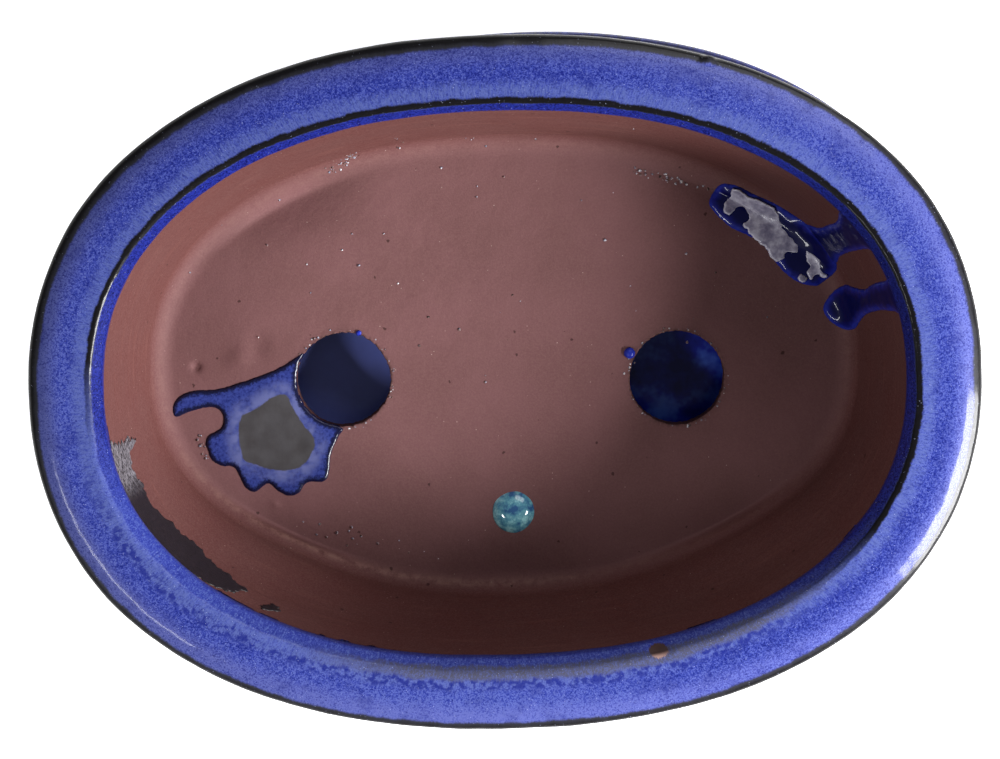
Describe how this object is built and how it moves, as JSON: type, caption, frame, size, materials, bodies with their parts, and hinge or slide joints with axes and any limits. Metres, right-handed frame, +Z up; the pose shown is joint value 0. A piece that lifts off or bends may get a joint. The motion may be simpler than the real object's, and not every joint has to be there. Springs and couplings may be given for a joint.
{
  "type": "bonsai pot",
  "caption": "Oval blue-glazed ceramic bonsai pot with a broad lip, bare clay inside, drainage holes and bracket feet, standing loose in a matching drip saucer.",
  "frame": {"origin": "on the surface that the saucer stands on, under the middle of the pot", "axes": "+X along the pot's length towards the right of the view from above, +Y across it towards the back, +Z up"},
  "size_m": [0.25, 0.183, 0.0778],
  "materials": {
    "clay": "matte",
    "cobalt_glaze": "gloss",
    "crawled_glaze": "satin",
    "teal_glaze": "gloss"
  },
  "bodies": {
    "saucer": {"saucer_body": "clay", "saucer_glaze_coat": "cobalt_glaze"},
    "pot": {"pot_body": "clay", "pot_glaze_coat": "cobalt_glaze", "pot_foot_back_left": "clay", "pot_foot_back_right": "clay", "pot_foot_front_left": "clay", "pot_foot_front_right": "clay", "glaze_pool": "cobalt_glaze", "glaze_run_upper": "cobalt_glaze", "glaze_run_lower": "cobalt_glaze", "glaze_spill": "crawled_glaze", "glaze_drop": "teal_glaze"}
  },
  "joints": [
    {"name": "pot_lift", "type": "slide", "parent": "saucer", "child": "pot", "axis": [0, 0, 1], "range_m": [0, 0.06]}
  ]
}
